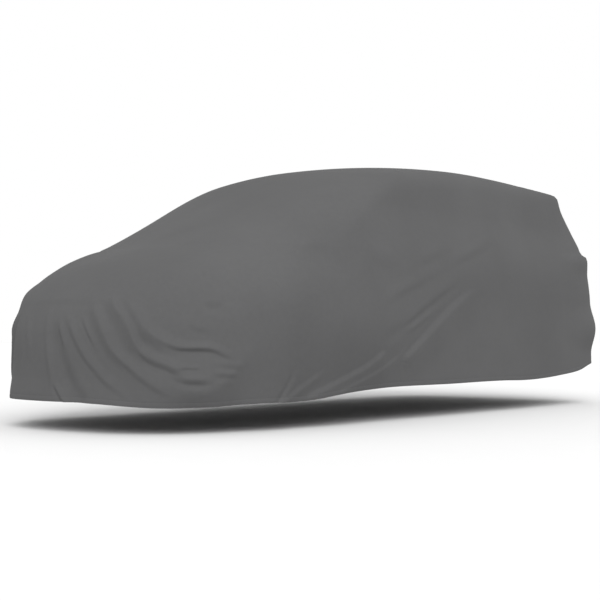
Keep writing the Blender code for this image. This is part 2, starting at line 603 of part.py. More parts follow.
def add_cover():
    """The sheet, thinned to few triangles away from its folds and given its thickness inward."""
    data = sheet_mesh("cover", cloth_grid())
    data.materials.append(cloth_material())
    cover = bpy.data.objects.new("cover", data)
    bpy.context.scene.collection.objects.link(cover)
    thin = cover.modifiers.new("fewer triangles", "DECIMATE")
    thin.ratio = SKIN_TRIANGLES / (2 * len(data.polygons))
    solid = cover.modifiers.new("thickness", "SOLIDIFY")
    solid.thickness = CLOTH_THICKNESS
    solid.offset = -1.0
    return cover


def main():
    clear_scene()
    add_cover()


if __name__ == "__main__":
    main()
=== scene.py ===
"""The looks of a fitted car cover: a thin sheet of soft grey cloth in the folds in which it drapes.

The sheet lies on the same smooth form as its solid. Metres, +Z up, and the origin is on the
underside of the roof. The cloth has two coordinates of its own. "around" runs along the girth, from
the middle of the front towards +X, or towards -X where it is negative. "up" runs along the cloth
from the ground. Tables with a row for each fold, swell and tuck push the cloth out or in.
"""

from collections import namedtuple

import bpy
import numpy as np
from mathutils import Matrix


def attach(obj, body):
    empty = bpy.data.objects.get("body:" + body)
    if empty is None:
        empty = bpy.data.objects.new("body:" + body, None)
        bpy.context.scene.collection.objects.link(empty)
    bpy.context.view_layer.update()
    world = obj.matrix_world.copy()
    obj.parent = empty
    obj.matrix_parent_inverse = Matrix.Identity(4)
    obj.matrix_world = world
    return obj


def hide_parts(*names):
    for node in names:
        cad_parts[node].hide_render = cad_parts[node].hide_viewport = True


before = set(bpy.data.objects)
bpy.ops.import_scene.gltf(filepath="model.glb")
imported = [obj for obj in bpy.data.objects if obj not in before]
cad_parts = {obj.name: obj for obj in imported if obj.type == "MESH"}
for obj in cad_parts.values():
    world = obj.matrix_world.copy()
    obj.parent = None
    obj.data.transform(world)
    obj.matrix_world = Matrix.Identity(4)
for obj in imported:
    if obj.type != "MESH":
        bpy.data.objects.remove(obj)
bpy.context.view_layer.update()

# The form in plan. Its lengths along Y start near the middle of the cover, and its heights at the
# ground. Cloth.place() moves the origin to the underside of the roof at the end.
HALF_WIDTH = 0.861
NOSE_Y = -2.106
TAIL_Y = 2.022
NOSE_BOW = 0.226  # how far the middle of the front stands ahead of its sides
TAIL_BOW = 0.076
NOSE_CORNER = 0.602  # radius of the corners in plan
TAIL_CORNER = 0.306

# The walls lean in above LEAN_FROM, and the sides tuck in below SKIRT_TOP.
SKIRT_TOP = 0.72
SKIRT_TUCK = 0.04  # for each metre down
LEAN_FROM = 0.50
KNEE = 0.16  # blend where a wall starts to lean
NOSE_TUCK = 0.05  # back, for each metre below LEAN_FROM
NOSE_LEAN = 0.258  # for each metre up
TAIL_LEAN = 0.157
TAIL_BULGE = 0.059  # the fullest part of the tail, around TAIL_BULGE_Z
TAIL_BULGE_Z = 0.52
TAIL_BULGE_REACH = 0.14
DECK_Z = 0.734  # the low front deck, where it meets the nose
DECK_RISE = 0.328  # for each metre back
DECK_HIGHEST = 1.191
DECK_CROWN = 0.125  # how much higher the middle of the deck is than its sides
DECK_EDGE = 0.271  # blend between the deck and the walls

# The cabin, the high part from the foot of the screen to the tail. It has bows and corners too.
CABIN_FROM = 0.95
SIDE_FROM = 0.75
CABIN_HALF = 0.840
SIDE_LEAN = 0.089  # in, for each metre above SIDE_FROM
SIDE_CURVE = 0.129  # and in, times the square of that height
SCREEN_Y = -1.338
SCREEN_RUN = 1.691  # back, for each metre above CABIN_FROM
SCREEN_BOW = 0.146
SCREEN_CORNER = 0.30
REAR_Y = 2.051
REAR_RUN = 0.653  # forward, for each metre up, as far as the lip
REAR_BOW = 0.08
REAR_CORNER = 0.18
LIP_Y = 1.805  # the upright lip at the back of the roof
LIP_BLEND = 0.03
ROOF_Z = 1.546
ROOF_Y = 0.695  # where the roof is highest
ROOF_FALL_FRONT = 0.0874  # times the square of the distance from there
ROOF_FALL_REAR = 0.0321
ROOF_CROWN = 0.160  # times the square of the distance from the middle
ROOF_EDGE = 0.098  # blend between the roof and the walls of the cabin
LIP_EDGE = 0.030  # the same at the lip
LIP_EDGE_FROM = 1.2  # ROOF_EDGE starts to change into LIP_EDGE here, over LIP_EDGE_OVER
LIP_EDGE_OVER = 0.5
CABIN_FOOT = 0.127  # blend between the cabin and the deck

# The line inside the form from which strips of cloth fan out, and how they are sampled
CORE_FRONT = -0.95
CORE_REAR = 1.15
CORE_Z = 0.72
GIRTH_Z = 0.50  # "around" is measured at this height
GIRTH_SAMPLES = 2400  # along half the girth
GRADING_SAMPLES = 2400  # along a length that is split by "gap"
LOWEST_RAY = np.radians(-42.0)  # it meets the form below the ground
STRIP_SAMPLES = 320  # from the lowest ray to the crown
WALL_SAMPLES = 96  # the lowest of them, all on the walls: the ground lies among them
RAY_REACH = 3.0  # longer than any ray inside the form
BISECTIONS = 26  # halvings of RAY_REACH
SLOPE_STEP = 0.002  # for the slopes of the form
SNAPS = 2  # corrections that bring a point onto the form

CLOTH_THICKNESS = 0.003  # of the solid, whose underside holds the origin
ORIGIN = np.array([0.0, ROOF_Y, ROOF_Z - CLOTH_THICKNESS])

# The mesh. Coarse columns of points, "gap" apart, run from the hem to the crown, alike on both sides.
# In the lower part each gap between them is split, into "seen" parts on the seen side and "far"
# parts on the far side.
Columns = namedtuple("Columns", "around gap seen far")
COLUMNS = (
    Columns(0.00, 0.022, 4, 2),
    Columns(1.15, 0.024, 4, 2),
    Columns(1.30, 0.028, 2, 2),
    Columns(3.20, 0.030, 2, 2),
    Columns(3.60, 0.038, 2, 2),
    Columns(5.40, 0.038, 2, 2),
)

# The lower part has fine rows of points, whose gap grows with their height above the hem.
Rows = namedtuple("Rows", "above_hem gap")
FINE_ROWS = (
    Rows(0.030, 0.0060),
    Rows(0.320, 0.0060),
    Rows(0.360, 0.0095),
    Rows(0.540, 0.0110),
)
HEM_ROWS = (0.0, 0.003, 0.008, 0.014, 0.019, 0.022, 0.025, 0.030)  # heights above the hem
COARSE_ROWS = 52  # from the fine rows to the crown
COARSE_CROWDING = 1.18  # over 1 sets them closer near the fine rows
WELD = 0.00002  # points of the crown closer than this are one
PATH_SAMPLES = 90  # along the path of a fold
FACE_POWER = 2.0  # over 1: the face of a crisp fold is steepest at its sharp end
FLANK_POWER = 1.5  # nearer 1: the slopes beside a fold are straighter
FLANK_CRISP = 0.5  # the share of that in the slope behind a ridge
MM = 0.001  # tables give the sizes of folds in millimetres

# The hem: its height above the ground, and how far it kicks out
Hem = namedtuple("Hem", "around height flare")
HEM = (
    Hem(-5.40, 0.252, 0.004),
    Hem(-4.95, 0.262, 0.006),
    Hem(-4.45, 0.272, 0.004),
    Hem(-4.10, 0.226, 0.000),
    Hem(-3.60, 0.201, 0.004),
    Hem(-2.80, 0.188, 0.006),
    Hem(-2.10, 0.190, 0.000),
    Hem(-1.70, 0.166, 0.000),
    Hem(-1.30, 0.143, 0.004),
    Hem(-0.80, 0.137, 0.010),
    Hem(-0.42, 0.150, 0.014),
    Hem(-0.10, 0.151, 0.010),
    Hem(0.30, 0.147, 0.006),
    Hem(0.57, 0.131, 0.004),
    Hem(0.82, 0.129, 0.002),
    Hem(1.14, 0.140, 0.000),
    Hem(1.45, 0.143, 0.000),
    Hem(1.72, 0.172, 0.000),
    Hem(2.03, 0.188, 0.000),
    Hem(2.67, 0.192, 0.003),
    Hem(3.28, 0.194, 0.003),
    Hem(3.48, 0.190, 0.002),
    Hem(4.00, 0.212, 0.000),
    Hem(4.22, 0.233, 0.000),
    Hem(4.43, 0.275, 0.004),
    Hem(4.75, 0.259, 0.006),
    Hem(5.10, 0.249, 0.004),
    Hem(5.40, 0.252, 0.004),
)
FLARE_REACH = 0.12  # the height over which the hem kicks out
HEM_FOLD = 0.0016  # radius of the turn at the edge
HEM_TURN_STEPS = 4
HEM_INSIDE = (0.006, 0.014, 0.021, 0.025)  # heights of the rows of the turned-in cloth
STITCH_HEIGHT = 0.022  # the row of stitches, above the edge
STITCH_PINCH = 0.0007  # how deep it draws the cloth in, over STITCH_REACH to both sides
STITCH_REACH = 0.005
HEM_PUFF = 0.0006  # how far the cloth swells between the stitches and the edge

# A fold is a step in the cloth. Its path, a curve through places (around, up) in metres, runs along
# the middle of the steep face. The ridge is on the left of the path and the trough on the right.
# The other lengths are in millimetres. The ridge stands "ridge" out and dies away over "above". The
# trough sinks "trough" and ends over "below", and the face between them is "rise" wide. The fold
# grows over the share "grow" of its path and fades over the share "fade". "widen" is how many times
# as wide "above" and "below" are at its end as at its start. "crisp" goes from 0, a round trough,
# to 1, a sharp one. Below 0, down to -1, the trough is round and the ridge is sharp.
Fold = namedtuple("Fold", "ridge trough rise above below grow fade widen crisp path")

# Seen side: swags that hang from the edge of the deck and sweep back to the low front corner
NOSE_SWAGS = (
    Fold(5, 1, 40, 40, 40, 0.2, 0.6, 1.2, 0.0, ((-0.26, 0.60), (-0.215, 0.42), (-0.20, 0.28))),
    Fold(7, 0, 34, 30, 30, 0.2, 0.3, 1.2, 0.0,
         ((-0.075, 0.62), (-0.045, 0.445), (-0.025, 0.30), (0.00, 0.17))),
    Fold(5, 5, 20, 30, 24, 0.4, 0.0, 1.2, 0.5,
         ((0.005, 0.245), (0.036, 0.21), (0.068, 0.174), (0.105, 0.135))),
    Fold(2, 10, 72, 44, 84, 0.3, 0.1, 1.1, 0.0,
         ((0.00, 0.60), (0.055, 0.48), (0.092, 0.39), (0.128, 0.305), (0.175, 0.23), (0.26, 0.155))),
    Fold(4, 1, 22, 24, 30, 0.3, 0.3, 1.2, 0.2, ((0.035, 0.545), (0.075, 0.455), (0.10, 0.39))),
    Fold(7, 1, 30, 44, 38, 0.2, 0.3, 1.2, 0.2,
         ((0.05, 0.59), (0.126, 0.508), (0.183, 0.424), (0.228, 0.365), (0.289, 0.302),
          (0.358, 0.238), (0.424, 0.192), (0.50, 0.145))),
    Fold(4, 3, 14, 20, 18, 0.3, 0.4, 1.2, 0.6,
         ((0.185, 0.57), (0.238, 0.497), (0.273, 0.445), (0.31, 0.385))),
    Fold(13, 1, 50, 52, 60, 0.2, 0.5, 0.9, -0.5,
         ((0.21, 0.63), (0.295, 0.52), (0.335, 0.447), (0.365, 0.395), (0.41, 0.343), (0.46, 0.298),
          (0.55, 0.230))),
    Fold(7, 1, 30, 60, 44, 0.4, 0.3, 1.1, 0.2,
         ((0.36, 0.425), (0.415, 0.364), (0.46, 0.322), (0.515, 0.272), (0.575, 0.227),
          (0.63, 0.194), (0.69, 0.16))),
    Fold(20, 1, 64, 36, 60, 0.2, 0.4, 0.9, -0.7,
         ((0.31, 0.66), (0.37, 0.575), (0.420, 0.518), (0.450, 0.471), (0.470, 0.425),
          (0.500, 0.374), (0.538, 0.332), (0.585, 0.304))),
    Fold(12, 5, 34, 40, 70, 0.35, 0.2, 0.8, 0.4,
         ((0.50, 0.43), (0.53, 0.390), (0.558, 0.360), (0.585, 0.342), (0.63, 0.325),
          (0.675, 0.306), (0.73, 0.283))),
    Fold(6, 9, 32, 26, 30, 0.5, 0.4, 1.0, 0.5,
         ((0.65, 0.300), (0.69, 0.270), (0.73, 0.257), (0.78, 0.252), (0.83, 0.250), (0.88, 0.262))),
    Fold(17, 1, 62, 56, 60, 0.25, 0.4, 0.7, -0.4,
         ((0.40, 0.64), (0.475, 0.545), (0.528, 0.475), (0.578, 0.435), (0.632, 0.405),
          (0.69, 0.39), (0.76, 0.385))),
    Fold(13, 6, 22, 34, 46, 0.4, 0.55, 0.9, 0.7,
         ((0.60, 0.455), (0.644, 0.427), (0.69, 0.408), (0.754, 0.403), (0.801, 0.403),
          (0.865, 0.396), (0.92, 0.372), (1.01, 0.325))),
    Fold(3, 3, 12, 20, 14, 0.3, 0.3, 1.0, 0.6, ((0.69, 0.315), (0.75, 0.313), (0.81, 0.312))),
    Fold(4, 2, 30, 24, 30, 0.4, 0.4, 1.0, 0.3, ((0.86, 0.326), (0.93, 0.322), (1.03, 0.305))),
    Fold(5, 3, 28, 24, 26, 0.4, 0.4, 1.0, 0.3, ((0.84, 0.288), (0.92, 0.280), (1.01, 0.272))),
    Fold(4, 0, 34, 60, 30, 0.3, 0.3, 1.0, 0.3,
         ((-0.45, 0.63), (-0.016, 0.642), (0.283, 0.632), (0.45, 0.64), (0.62, 0.655))),
)

# Seen side: long pulls that run down from the back of the side to the edge behind the front corner
SIDE_PULLS = (
    Fold(10, 0, 32, 220, 24, 0.1, 0.10, 0.8, 0.2,
         ((2.01, 0.395), (1.84, 0.306), (1.67, 0.245), (1.56, 0.204), (1.42, 0.15))),
    Fold(4, 0, 20, 120, 20, 0.3, 0.1, 1.0, 0.2,
         ((2.26, 0.455), (2.10, 0.344), (1.92, 0.268), (1.78, 0.222), (1.62, 0.17))),
    Fold(12, 1, 42, 200, 30, 0.3, 0.06, 0.7, 0.2,
         ((2.96, 0.77), (2.745, 0.68), (2.61, 0.605), (2.48, 0.525), (2.34, 0.44), (2.16, 0.335))),
    Fold(4, 1, 26, 30, 25, 0.5, 0.2, 1.0, 0.2,
         ((2.59, 0.677), (2.44, 0.608), (2.34, 0.566), (2.17, 0.492))),
    Fold(5, 1, 36, 90, 40, 0.2, 0.4, 1.0, 0.2,
         ((2.07, 0.50), (2.24, 0.560), (2.35, 0.61), (2.46, 0.66), (2.59, 0.72), (2.73, 0.785),
          (2.93, 0.87))),
    Fold(5, 1, 42, 60, 50, 0.4, 0.4, 1.0, 0.2,
         ((1.88, 0.59), (2.10, 0.68), (2.25, 0.73), (2.43, 0.79), (2.66, 0.87))),
    Fold(5, 2, 34, 50, 50, 0.4, 0.4, 1.0, 0.2, ((2.27, 0.845), (2.45, 0.905), (2.70, 0.98))),
    Fold(8, 3, 32, 50, 40, 0.4, 0.4, 1.0, 0.2,
         ((2.60, 0.85), (2.85, 0.935), (3.00, 0.985), (3.25, 1.08))),
    Fold(3, 4, 24, 40, 26, 0.4, 0.0, 1.0, 0.5,
         ((1.33, 0.34), (1.32, 0.26), (1.29, 0.20), (1.24, 0.13))),
    Fold(4, 1, 26, 40, 30, 0.3, 0.0, 1.0, 0.2,
         ((1.55, 0.31), (1.453, 0.246), (1.365, 0.199), (1.26, 0.14))),
)

# Seen side: short creases at the shoulder, and two that run up beside the screen
SHOULDER_CREASES = (
    Fold(6, 5, 50, 45, 40, 0.4, 0.4, 1.0, 0.3,
         ((0.945, 0.665), (0.87, 0.70), (0.82, 0.74), (0.77, 0.79))),
    Fold(4, 4, 36, 40, 40, 0.4, 0.4, 1.0, 0.3, ((0.79, 0.63), (0.86, 0.615), (0.93, 0.615))),
    Fold(3, 2, 30, 30, 30, 0.4, 0.4, 1.0, 0.2,
         ((0.72, 0.525), (0.78, 0.50), (0.83, 0.487), (0.87, 0.487))),
    Fold(1, 4, 16, 24, 28, 0.3, 0.3, 1.0, 0.0, ((1.62, 1.066), (1.68, 1.15), (1.75, 1.245))),
    Fold(2, 3, 16, 24, 24, 0.3, 0.3, 1.0, 0.0, ((1.79, 1.185), (1.85, 1.27), (1.92, 1.365))),
)

# The far side, mirrored: around counts towards -X here.
FAR_FOLDS = (
    Fold(8, 6, 26, 60, 45, 0.2, 0.0, 1.4, 0.6, ((0.36, 0.62), (0.50, 0.38), (0.74, 0.13))),
    Fold(12, 9, 30, 60, 50, 0.2, 0.3, 1.3, 0.6, ((0.45, 0.60), (0.64, 0.37), (1.00, 0.25))),
    Fold(14, 9, 30, 60, 40, 0.3, 0.3, 0.8, 0.7, ((0.60, 0.58), (0.82, 0.43), (1.16, 0.38))),
    Fold(6, 6, 30, 40, 50, 0.4, 0.4, 1.0, 0.4, ((0.74, 0.80), (0.85, 0.74), (0.98, 0.70))),
    Fold(5, 7, 28, 40, 40, 0.4, 0.0, 1.0, 0.4, ((1.50, 0.42), (1.36, 0.26), (1.24, 0.12))),
    Fold(8, 8, 36, 50, 60, 0.3, 0.0, 1.0, 0.4, ((2.66, 0.78), (2.20, 0.50), (1.66, 0.13))),
    Fold(6, 6, 36, 60, 60, 0.4, 0.4, 1.0, 0.4, ((3.08, 0.98), (2.66, 0.68), (2.16, 0.42))),
    Fold(6, 6, 30, 60, 50, 0.4, 0.4, 1.0, 0.4, ((3.10, 0.80), (2.76, 0.56), (2.36, 0.34))),
    Fold(6, 5, 40, 70, 70, 0.4, 0.5, 1.0, 0.3, ((3.46, 0.92), (3.24, 0.60), (3.00, 0.36))),
    Fold(6, 6, 30, 60, 40, 0.4, 0.4, 1.0, 0.4, ((1.84, 1.34), (1.74, 1.18), (1.68, 1.02))),
    Fold(6, 5, 30, 50, 40, 0.4, 0.4, 1.0, 0.4, ((2.40, 1.50), (2.18, 1.38), (2.02, 1.24))),
)
TAIL_FOLDS = (
    Fold(28, 2, 50, 130, 40, 0.35, 0.3, 1.0, 0.0,
         ((5.05, 1.04), (4.60, 1.03), (4.30, 1.02), (3.98, 1.00))),
    Fold(8, 8, 40, 70, 60, 0.4, 0.0, 1.2, 0.4, ((4.58, 0.72), (4.62, 0.48), (4.70, 0.20))),
    Fold(6, 6, 30, 60, 50, 0.4, 0.0, 1.2, 0.4, ((4.86, 0.60), (4.88, 0.42), (4.93, 0.20))),
    Fold(6, 6, 40, 70, 60, 0.4, 0.0, 1.2, 0.4, ((5.14, 0.66), (5.12, 0.44), (5.08, 0.20))),
)
FAR_TAIL_FOLDS = (
    Fold(24, 2, 54, 120, 40, 0.35, 0.3, 1.0, 0.0,
         ((5.00, 1.04), (4.64, 1.03), (4.34, 1.01), (4.02, 0.99))),
    Fold(8, 7, 40, 60, 60, 0.4, 0.0, 1.2, 0.4, ((4.50, 0.64), (4.58, 0.44), (4.62, 0.20))),
    Fold(7, 7, 40, 70, 60, 0.4, 0.0, 1.2, 0.4, ((4.78, 0.74), (4.84, 0.50), (4.96, 0.20))),
)

# Broad swells (above zero) and hollows (below zero): half sizes along and across their own axis,
# in metres, the tilt of that axis in degrees, and the height in millimetres
Swell = namedtuple("Swell", "around up half_length half_height tilt height")
SEEN_SWELLS = (
    Swell(2.02, 0.90, 0.16, 0.10, -15.0, 10),
    Swell(1.60, 1.08, 0.42, 0.11, 43.0, 12),
    Swell(1.70, 0.50, 0.90, 0.42, 0.0, 46),
    Swell(1.55, 1.02, 0.75, 0.50, 0.0, -34),
    Swell(0.72, 0.250, 0.34, 0.20, -6.0, 24),
    Swell(-0.35, 0.120, 0.60, 0.24, 0.0, 16),
    Swell(2.07, 0.475, 0.12, 0.06, 25.0, -5),
    Swell(4.45, 0.52, 0.50, 0.18, 0.0, 24),
)
FAR_SWELLS = (
    Swell(1.70, 0.52, 0.90, 0.40, 0.0, 22),
    Swell(0.72, 0.250, 0.34, 0.20, -6.0, 20),
    Swell(2.04, 0.97, 0.19, 0.13, -20.0, 22),
    Swell(0.72, 1.08, 0.55, 0.24, 0.0, 17),
    Swell(0.50, 0.69, 0.32, 0.11, 0.0, 14),
    Swell(4.48, 0.53, 0.46, 0.18, 0.0, 20),
)

# The low edge is drawn in: from "top" down, the cloth leans in by "slope", after a bend over "bend".
Tuck = namedtuple("Tuck", "around top slope bend")
LEAST_BEND = 0.01  # keeps the bend between two rows of a table above zero
SEEN_TUCKS = (
    Tuck(0.00, 0.15, 0.00, 0.02),
    Tuck(0.55, 0.15, 0.00, 0.02),
    Tuck(0.66, 0.18, 0.10, 0.02),
    Tuck(0.75, 0.195, 0.28, 0.02),
    Tuck(0.88, 0.22, 0.28, 0.02),
    Tuck(1.00, 0.32, 0.22, 0.03),
    Tuck(1.10, 0.40, 0.12, 0.08),
    Tuck(1.25, 0.45, 0.08, 0.10),
    Tuck(1.50, 0.47, 0.08, 0.10),
    Tuck(1.85, 0.48, 0.08, 0.08),
    Tuck(2.05, 0.47, 0.07, 0.08),
    Tuck(2.30, 0.46, 0.02, 0.08),
    Tuck(2.60, 0.44, 0.01, 0.10),
    Tuck(3.20, 0.44, 0.00, 0.10),
    Tuck(5.40, 0.44, 0.00, 0.10),
)
FAR_TUCKS = (
    Tuck(0.00, 0.42, 0.00, 0.06),
    Tuck(0.90, 0.42, 0.02, 0.06),
    Tuck(1.35, 0.48, 0.15, 0.10),
    Tuck(1.95, 0.50, 0.15, 0.10),
    Tuck(2.55, 0.46, 0.04, 0.10),
    Tuck(3.30, 0.44, 0.00, 0.10),
    Tuck(5.40, 0.44, 0.00, 0.10),
)

# The noises of the finishes. Their scales are repeats for each metre.
Noise = namedtuple("Noise", "scale detail roughness")
BROAD = Noise(1.7, 3.0, 0.5)
BLOTCH = Noise(38.0, 3.0, 0.6)
FIBRE = Noise(900.0, 2.0, 0.7)
CRINKLE = Noise(26.0, 4.0, 0.55)
TWIST = Noise(1400.0, 2.0, 0.5)  # of the thread
GRAIN = Noise(6.0, 2.0, 0.5)  # of the floor
BONDED_POINTS = 520.0  # for each metre too
BLOTCH_LOW = 0.3
BLOTCH_HIGH = 0.7

# A noise moves the cloth from dark to light by "share", as it goes from "low" to "high".
Shade = namedtuple("Shade", "noise low high share")
SHADES = (
    Shade(BROAD, 0.35, 0.65, 0.35),
    Shade(BLOTCH, BLOTCH_LOW, BLOTCH_HIGH, 0.25),
    Shade(FIBRE, 0.30, 0.70, 0.40),
)

# Bumps of the finishes: how high in metres, and how strong
Bump = namedtuple("Bump", "height strength")
CRINKLE_BUMP = Bump(0.0012, 0.35)
BONDED_BUMP = Bump(0.0002, 0.5)
FIBRE_BUMP = Bump(0.0001, 0.6)
TWIST_BUMP = Bump(0.0001, 0.5)

CLOTH_DARK = (0.074, 0.074, 0.075, 1.0)
CLOTH_LIGHT = (0.0915, 0.0915, 0.0925, 1.0)
CLOTH_ROUGHNESS = (0.80, 0.92)  # at the low and at the high blotches
CLOTH_GLOSS = 0.05
CLOTH_DIFFUSE_ROUGHNESS = 0.2
THREAD_DARK = (0.080, 0.080, 0.081, 1.0)
THREAD_LIGHT = (0.110, 0.110, 0.112, 1.0)
THREAD_ROUGHNESS = 0.6
FLOOR_DARK = (0.6698, 0.6698, 0.6698, 1.0)
FLOOR_LIGHT = (0.68, 0.68, 0.68, 1.0)
FLOOR_ROUGHNESS = 0.9
FLOOR_GLOSS = 0.1

# The stitches of the hem. Each is a tube through rings, at a share of its length and a height over
# the cloth, in half widths of the thread.
STITCH_PITCH = 0.0055
STITCH_LENGTH = 0.0038
THREAD_HALF = 0.00035
THREAD_SIDES = 5
StitchRing = namedtuple("StitchRing", "share height")
STITCH_RINGS = (
    StitchRing(0.00, -1.2),
    StitchRing(0.15, 0.5),
    StitchRing(0.85, 0.5),
    StitchRing(1.00, -1.2),
)

# The camera looks a little upwards at the front and the +X side.
CAMERA_PLACE = (4.5128, -6.1527, -1.0857)
CAMERA_AZIMUTH = np.radians(40.992)
CAMERA_PITCH = np.radians(1.8885)
CAMERA_LENS = 68.13
CAMERA_SENSOR = 36.0

FLOOR_HALF = 60.0  # half the width of the floor
WORLD_COLOUR = (1.0, 1.0, 1.0, 1.0)
WORLD_STRENGTH = 1.0
KEY_STRENGTH = 2.7  # a soft light from the front and the +X side
KEY_SOFTNESS = np.radians(45.0)
KEY_HEIGHT = np.radians(38.5)
KEY_AZIMUTH = np.radians(48.5)


def smooth_max(a, b, blend):
    share = np.clip(0.5 + 0.5 * (a - b) / blend, 0.0, 1.0)
    return b + (a - b) * share + blend * share * (1.0 - share)


def smooth_min(a, b, blend):
    return -smooth_max(-a, -b, blend)


def ease(share):
    """0 to 1 with level ends."""
    share = np.clip(share, 0.0, 1.0)
    return share * share * (3.0 - 2.0 * share)


def plan_distance(x, y, half, front, rear, front_radius, rear_radius):
    """Distance in plan to a rectangle with round corners, negative inside it."""
    in_front = y < 0.5 * (front + rear)
    radius = np.where(in_front, front_radius, rear_radius)
    across = np.abs(x) - half + radius
    along = np.where(in_front, front - y, y - rear) + radius
    corner = np.hypot(np.maximum(across, 0.0), np.maximum(along, 0.0))
    return corner + np.minimum(np.maximum(across, along), 0.0) - radius


def lower_form(x, y, z):
    """The walls and the low front deck."""
    offset = (x / HALF_WIDTH) ** 2
    above = smooth_max(z - LEAN_FROM, 0.0, KNEE)
    below = np.maximum(LEAN_FROM - z, 0.0)
    bulge = TAIL_BULGE * np.exp(-(((z - TAIL_BULGE_Z) / TAIL_BULGE_REACH) ** 2))
    front = NOSE_Y + NOSE_BOW * offset + NOSE_LEAN * above + NOSE_TUCK * below
    rear = TAIL_Y - TAIL_BOW * offset - TAIL_LEAN * above + bulge
    half = HALF_WIDTH - SKIRT_TUCK * np.maximum(SKIRT_TOP - z, 0.0)
    walls = plan_distance(x, y, half, front, rear, NOSE_CORNER, TAIL_CORNER)
    deck = np.minimum(DECK_Z + DECK_RISE * (y - NOSE_Y), DECK_HIGHEST) - DECK_CROWN * offset
    return smooth_max(walls, z - deck, DECK_EDGE)


def cabin_form(x, y, z):
    """The high part, with an upright lip at the back of its roof."""
    offset = (x / HALF_WIDTH) ** 2
    above = np.maximum(z - CABIN_FROM, 0.0)
    above_side = np.maximum(z - SIDE_FROM, 0.0)
    half = CABIN_HALF - SIDE_LEAN * above_side - SIDE_CURVE * above_side**2
    front = SCREEN_Y + SCREEN_RUN * above + SCREEN_BOW * offset
    rear_lean = REAR_RUN * smooth_max(z - CABIN_FROM, 0.0, KNEE)
    rear = smooth_max(REAR_Y - rear_lean, LIP_Y, LIP_BLEND) - REAR_BOW * offset
    walls = plan_distance(x, y, half, front, rear, SCREEN_CORNER, REAR_CORNER)
    along = y - ROOF_Y
    fall = np.where(along < 0.0, ROOF_FALL_FRONT, ROOF_FALL_REAR)
    roof = ROOF_Z - fall * along**2 - ROOF_CROWN * x**2
    edge = ROOF_EDGE + (LIP_EDGE - ROOF_EDGE) * np.clip((y - LIP_EDGE_FROM) / LIP_EDGE_OVER, 0.0, 1.0)
    return smooth_max(walls, z - roof, edge)


def cover_field(x, y, z):
    """Below zero inside the form that the cloth lies on."""
    return smooth_min(lower_form(x, y, z), cabin_form(x, y, z), CABIN_FOOT)


def field_slope(points):
    """The gradient of the form's field."""
    slopes = []
    for axis in range(3):
        step = np.zeros(3)
        step[axis] = SLOPE_STEP
        ahead = cover_field(*np.moveaxis(points + step, -1, 0))
        behind = cover_field(*np.moveaxis(points - step, -1, 0))
        slopes.append((ahead - behind) / (2.0 * SLOPE_STEP))
    return np.stack(slopes, axis=-1)


def snap_to_form(points):
    """The points brought onto the form, and its outward unit normals there."""
    for _ in range(SNAPS):
        slope = field_slope(points)
        value = cover_field(*np.moveaxis(points, -1, 0))
        points = points - slope * (value / (slope**2).sum(axis=-1))[..., None]
    slope = field_slope(points)
    return points, slope / np.linalg.norm(slope, axis=-1, keepdims=True)


def reach_of(inside, shape):
    """How far each ray goes before it leaves the form, by bisection."""
    near = np.zeros(shape)
    far = np.full(shape, RAY_REACH)
    for _ in range(BISECTIONS):
        middle = 0.5 * (near + far)
        within = inside(middle)
        near = np.where(within, middle, near)
        far = np.where(within, far, middle)
    return 0.5 * (near + far)


def core_rays(turn):
    """Where rays start on the core line and their plan directions. turn goes from 0, the middle of
    the front, past 1 and 2, the ends of the straight side, to 3, the middle of the tail."""
    front_angle = np.clip(turn, 0.0, 1.0) * np.pi / 2
    rear_angle = np.clip(turn - 2.0, 0.0, 1.0) * np.pi / 2
    start = CORE_FRONT + (CORE_REAR - CORE_FRONT) * np.clip(turn - 1.0, 0.0, 1.0)
    side = np.where(turn < 1.0, np.sin(front_angle), np.cos(rear_angle))
    along = np.where(turn < 1.0, -np.cos(front_angle), np.sin(rear_angle))
    return start, side, along


def girth_table():
    """The turn of each sample along half the girth, and its distance from the middle of the front."""
    turn = np.linspace(0.0, 3.0, GIRTH_SAMPLES)
    start, side, along = core_rays(turn)
    reach = reach_of(lambda r: cover_field(side * r, start + along * r, GIRTH_Z) < 0.0, turn.shape)
    steps = np.hypot(np.diff(side * reach), np.diff(start + along * reach))
    return turn, np.concatenate([[0.0], np.cumsum(steps)])


def strip_points(turn):
    """Points from below the ground to the crown along each strip, and their "up"."""
    start, side, along = (value[:, None] for value in core_rays(turn))
    climb = np.linspace(LOWEST_RAY, np.pi / 2, STRIP_SAMPLES)[None, :]
    flat, steep = np.cos(climb), np.sin(climb)

    def place(reach):
        return side * flat * reach, start + along * flat * reach, CORE_Z + steep * reach

    reach = reach_of(lambda r: cover_field(*place(r)) < 0.0, (len(turn), STRIP_SAMPLES))
    points = np.stack(place(reach), axis=-1)
    lengths = np.linalg.norm(np.diff(points, axis=1), axis=-1)
    up = np.concatenate([np.zeros((len(turn), 1)), np.cumsum(lengths, axis=1)], axis=1)
    for strip in range(len(turn)):
        up[strip] -= np.interp(0.0, points[strip, :WALL_SAMPLES, 2], up[strip, :WALL_SAMPLES])
    return points, up


def smooth_curve(at, places, values):
    """A curve through values at places, with Catmull-Rom slopes."""
    slopes = np.gradient(values, places)
    index = np.clip(np.searchsorted(places, at) - 1, 0, len(places) - 2)
    width = places[index + 1] - places[index]
    share = (at - places[index]) / width
    low = ease(share)
    lead = share * (1.0 - share) ** 2 * width
    tail = share**2 * (share - 1.0) * width
    blended = values[index] * (1.0 - low) + values[index + 1] * low
    return blended + slopes[index] * lead + slopes[index + 1] * tail


def hem_line(around):
    """The height and the flare of the hem at each place around."""
    places, heights, flares = np.array(HEM).T
    return smooth_curve(around, places, heights), smooth_curve(around, places, flares)


